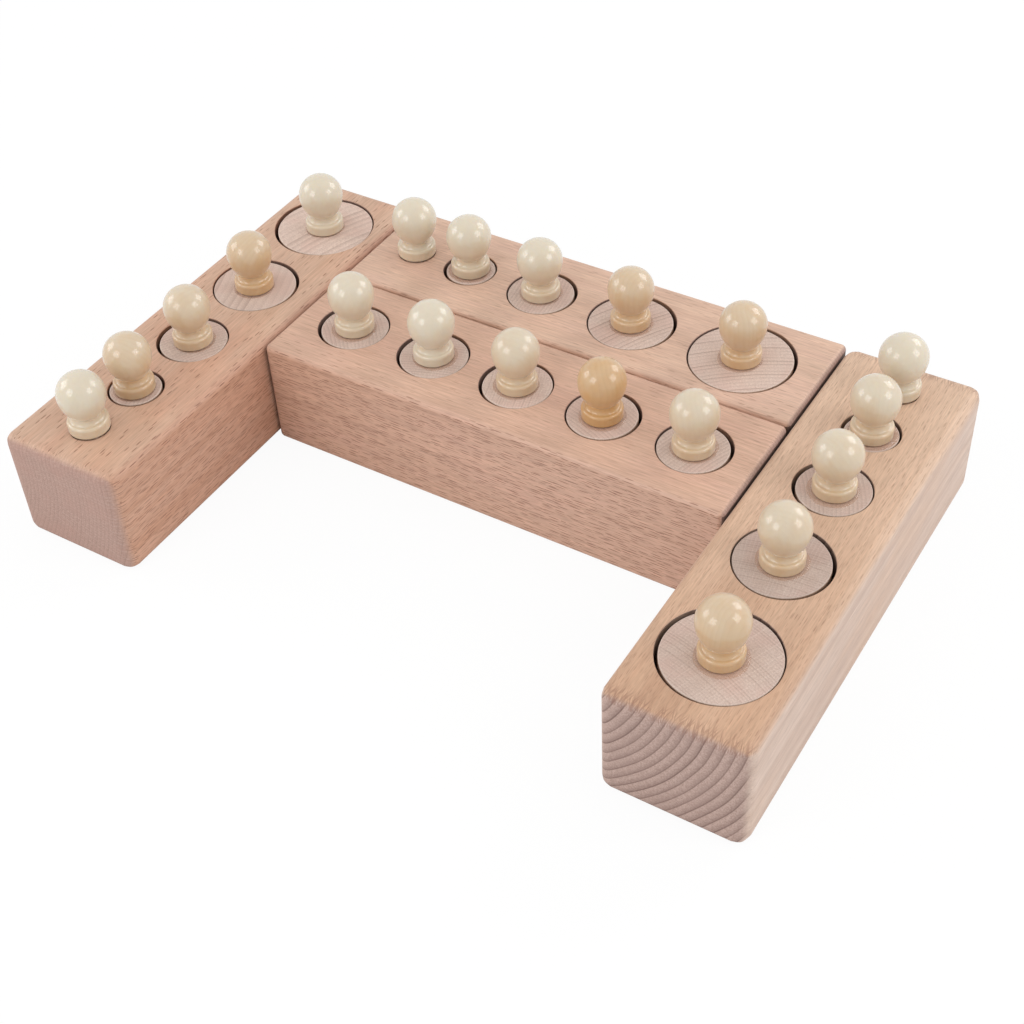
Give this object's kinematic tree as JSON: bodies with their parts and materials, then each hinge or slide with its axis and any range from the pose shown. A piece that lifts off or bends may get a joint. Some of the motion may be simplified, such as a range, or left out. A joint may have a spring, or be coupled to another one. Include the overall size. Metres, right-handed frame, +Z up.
{
  "type": "knobbed cylinder blocks",
  "caption": "Wooden sorting toy: beech blocks with rows of round sockets, each holding a turned cylinder that lifts out by a lacquered ball knob.",
  "frame": {"origin": "on the table under the middle of the set: centre of the bounding box, at the underside of the blocks", "axes": "+X along the back and front blocks towards the right block, +Y from the front block to the back block, +Z up along the cylinders"},
  "size_m": [0.2288, 0.148, 0.0537],
  "materials": {
    "beech_block": "sanded and oiled beech, satin",
    "sanded_cylinder": "sanded wood, end grain showing, matt",
    "lacquered_knob": "turned pale wood, clear gloss lacquer"
  },
  "bodies": {
    "blocks": {"left_block": "beech_block", "back_block": "beech_block", "front_block": "beech_block", "right_block": "beech_block"},
    "left_piece_1": {"left_cylinder_1": "sanded_cylinder", "left_knob_1": "lacquered_knob"},
    "left_piece_2": {"left_cylinder_2": "sanded_cylinder", "left_knob_2": "lacquered_knob"},
    "left_piece_3": {"left_cylinder_3": "sanded_cylinder", "left_knob_3": "lacquered_knob"},
    "left_piece_4": {"left_cylinder_4": "sanded_cylinder", "left_knob_4": "lacquered_knob"},
    "left_piece_5": {"left_cylinder_5": "sanded_cylinder", "left_knob_5": "lacquered_knob"},
    "back_piece_1": {"back_cylinder_1": "sanded_cylinder", "back_knob_1": "lacquered_knob"},
    "back_piece_2": {"back_cylinder_2": "sanded_cylinder", "back_knob_2": "lacquered_knob"},
    "back_piece_3": {"back_cylinder_3": "sanded_cylinder", "back_knob_3": "lacquered_knob"},
    "back_piece_4": {"back_cylinder_4": "sanded_cylinder", "back_knob_4": "lacquered_knob"},
    "back_piece_5": {"back_cylinder_5": "sanded_cylinder", "back_knob_5": "lacquered_knob"},
    "front_piece_1": {"front_cylinder_1": "sanded_cylinder", "front_knob_1": "lacquered_knob"},
    "front_piece_2": {"front_cylinder_2": "sanded_cylinder", "front_knob_2": "lacquered_knob"},
    "front_piece_3": {"front_cylinder_3": "sanded_cylinder", "front_knob_3": "lacquered_knob"},
    "front_piece_4": {"front_cylinder_4": "sanded_cylinder", "front_knob_4": "lacquered_knob"},
    "front_piece_5": {"front_cylinder_5": "sanded_cylinder", "front_knob_5": "lacquered_knob"},
    "right_piece_1": {"right_cylinder_1": "sanded_cylinder", "right_knob_1": "lacquered_knob"},
    "right_piece_2": {"right_cylinder_2": "sanded_cylinder", "right_knob_2": "lacquered_knob"},
    "right_piece_3": {"right_cylinder_3": "sanded_cylinder", "right_knob_3": "lacquered_knob"},
    "right_piece_4": {"right_cylinder_4": "sanded_cylinder", "right_knob_4": "lacquered_knob"},
    "right_piece_5": {"right_cylinder_5": "sanded_cylinder", "right_knob_5": "lacquered_knob"}
  },
  "joints": [
    {"name": "left_lift_1", "type": "slide", "parent": "blocks", "child": "left_piece_1", "axis": [0, 0, 1], "range_m": [0, 0.04]},
    {"name": "left_lift_2", "type": "slide", "parent": "blocks", "child": "left_piece_2", "axis": [0, 0, 1], "range_m": [0, 0.035]},
    {"name": "left_lift_3", "type": "slide", "parent": "blocks", "child": "left_piece_3", "axis": [0, 0, 1], "range_m": [0, 0.03]},
    {"name": "left_lift_4", "type": "slide", "parent": "blocks", "child": "left_piece_4", "axis": [0, 0, 1], "range_m": [0, 0.025]},
    {"name": "left_lift_5", "type": "slide", "parent": "blocks", "child": "left_piece_5", "axis": [0, 0, 1], "range_m": [0, 0.02]},
    {"name": "back_lift_1", "type": "slide", "parent": "blocks", "child": "back_piece_1", "axis": [0, 0, 1], "range_m": [0, 0.04]},
    {"name": "back_lift_2", "type": "slide", "parent": "blocks", "child": "back_piece_2", "axis": [0, 0, 1], "range_m": [0, 0.04]},
    {"name": "back_lift_3", "type": "slide", "parent": "blocks", "child": "back_piece_3", "axis": [0, 0, 1], "range_m": [0, 0.04]},
    {"name": "back_lift_4", "type": "slide", "parent": "blocks", "child": "back_piece_4", "axis": [0, 0, 1], "range_m": [0, 0.04]},
    {"name": "back_lift_5", "type": "slide", "parent": "blocks", "child": "back_piece_5", "axis": [0, 0, 1], "range_m": [0, 0.04]},
    {"name": "front_lift_1", "type": "slide", "parent": "blocks", "child": "front_piece_1", "axis": [0, 0, 1], "range_m": [0, 0.04]},
    {"name": "front_lift_2", "type": "slide", "parent": "blocks", "child": "front_piece_2", "axis": [0, 0, 1], "range_m": [0, 0.035]},
    {"name": "front_lift_3", "type": "slide", "parent": "blocks", "child": "front_piece_3", "axis": [0, 0, 1], "range_m": [0, 0.03]},
    {"name": "front_lift_4", "type": "slide", "parent": "blocks", "child": "front_piece_4", "axis": [0, 0, 1], "range_m": [0, 0.025]},
    {"name": "front_lift_5", "type": "slide", "parent": "blocks", "child": "front_piece_5", "axis": [0, 0, 1], "range_m": [0, 0.02]},
    {"name": "right_lift_1", "type": "slide", "parent": "blocks", "child": "right_piece_1", "axis": [0, 0, 1], "range_m": [0, 0.02]},
    {"name": "right_lift_2", "type": "slide", "parent": "blocks", "child": "right_piece_2", "axis": [0, 0, 1], "range_m": [0, 0.025]},
    {"name": "right_lift_3", "type": "slide", "parent": "blocks", "child": "right_piece_3", "axis": [0, 0, 1], "range_m": [0, 0.03]},
    {"name": "right_lift_4", "type": "slide", "parent": "blocks", "child": "right_piece_4", "axis": [0, 0, 1], "range_m": [0, 0.035]},
    {"name": "right_lift_5", "type": "slide", "parent": "blocks", "child": "right_piece_5", "axis": [0, 0, 1], "range_m": [0, 0.04]}
  ]
}
